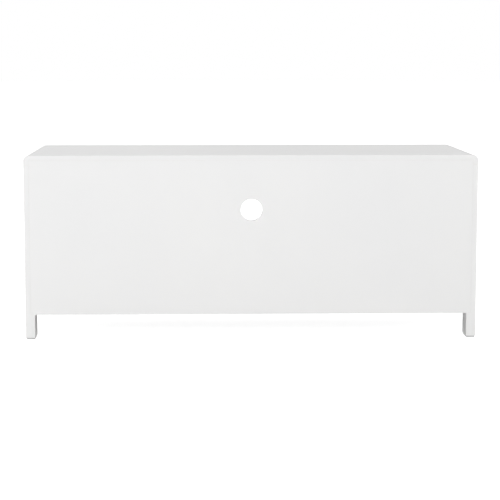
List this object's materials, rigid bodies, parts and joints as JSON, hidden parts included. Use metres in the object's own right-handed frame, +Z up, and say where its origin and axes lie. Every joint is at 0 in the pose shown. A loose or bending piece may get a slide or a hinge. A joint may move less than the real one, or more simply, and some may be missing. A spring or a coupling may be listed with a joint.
{
  "type": "tv stand",
  "caption": "Low white TV stand on four feet with a hinged door at each side, an open centre bay with a shelf, and a flush back with a cable hole.",
  "frame": {"origin": "on the floor, at the middle of the overall footprint, knobs included", "axes": "+Z up; the doors face -Y and the flush back with the cable hole faces +Y; +X is to the right for someone who looks at the doors"},
  "size_m": [1.2, 0.424, 0.49],
  "materials": {
    "white_lacquer": "satin white lacquer on fibreboard",
    "satin_nickel": "satin nickel plate",
    "shelf_pin_nickel": "bright nickel plate",
    "screw_zinc": "zinc plate",
    "strike_steel": "zinc plate",
    "cam_zinc": "cast zinc",
    "catch_plastic": "moulded, matt",
    "catch_magnet": "ferrite magnet between steel pole plates",
    "glide_plastic": "moulded, matt",
    "beech": "fluted beech dowel"
  },
  "bodies": {
    "carcass": {"top_panel": "white_lacquer", "side_panel_left": "white_lacquer", "side_panel_right": "white_lacquer", "bottom_panel": "white_lacquer", "divider_left": "white_lacquer", "divider_right": "white_lacquer", "back_panel": "white_lacquer", "centre_shelf": "white_lacquer", "shelf_left": "white_lacquer", "shelf_right": "white_lacquer", "shelf_pins_centre": "shelf_pin_nickel", "shelf_pins_left": "shelf_pin_nickel", "shelf_pins_right": "shelf_pin_nickel", "hinge_frame_screws_left": "satin_nickel", "hinge_left_upper_frame_leaf": "satin_nickel", "hinge_left_upper_pin": "satin_nickel", "hinge_left_lower_frame_leaf": "satin_nickel", "hinge_left_lower_pin": "satin_nickel", "catch_housing_left": "catch_plastic", "catch_magnet_left": "catch_magnet", "glide_front_left": "glide_plastic", "glide_rear_left": "glide_plastic", "hinge_frame_screws_right": "satin_nickel", "hinge_right_upper_frame_leaf": "satin_nickel", "hinge_right_upper_pin": "satin_nickel", "hinge_right_lower_frame_leaf": "satin_nickel", "hinge_right_lower_pin": "satin_nickel", "catch_housing_right": "catch_plastic", "catch_magnet_right": "catch_magnet", "glide_front_right": "glide_plastic", "glide_rear_right": "glide_plastic", "catch_screws": "screw_zinc", "glide_screws": "screw_zinc", "divider_screws": "screw_zinc", "top_cam_bolts": "cam_zinc", "top_cams": "cam_zinc", "bottom_cam_bolts": "cam_zinc", "bottom_cams": "cam_zinc", "top_dowels": "beech", "bottom_dowels": "beech", "divider_dowels": "beech", "back_dowels": "beech"},
    "left_door": {"door_left": "white_lacquer", "knob_left": "satin_nickel", "knob_screw_left": "screw_zinc", "strike_screw_left": "screw_zinc", "catch_strike_left": "strike_steel", "hinge_door_screws_left": "satin_nickel", "hinge_left_upper_door_leaf": "satin_nickel", "hinge_left_lower_door_leaf": "satin_nickel"},
    "right_door": {"door_right": "white_lacquer", "knob_right": "satin_nickel", "knob_screw_right": "screw_zinc", "strike_screw_right": "screw_zinc", "catch_strike_right": "strike_steel", "hinge_door_screws_right": "satin_nickel", "hinge_right_upper_door_leaf": "satin_nickel", "hinge_right_lower_door_leaf": "satin_nickel"}
  },
  "joints": [
    {"name": "left_door_hinge", "type": "hinge", "parent": "carcass", "child": "left_door", "pos_m": [-0.5735, -0.1912, 0.2745], "axis": [0, 0, -1], "range_deg": [0, 170]},
    {"name": "right_door_hinge", "type": "hinge", "parent": "carcass", "child": "right_door", "pos_m": [0.5735, -0.1912, 0.2745], "axis": [0, 0, 1], "range_deg": [0, 170]}
  ]
}
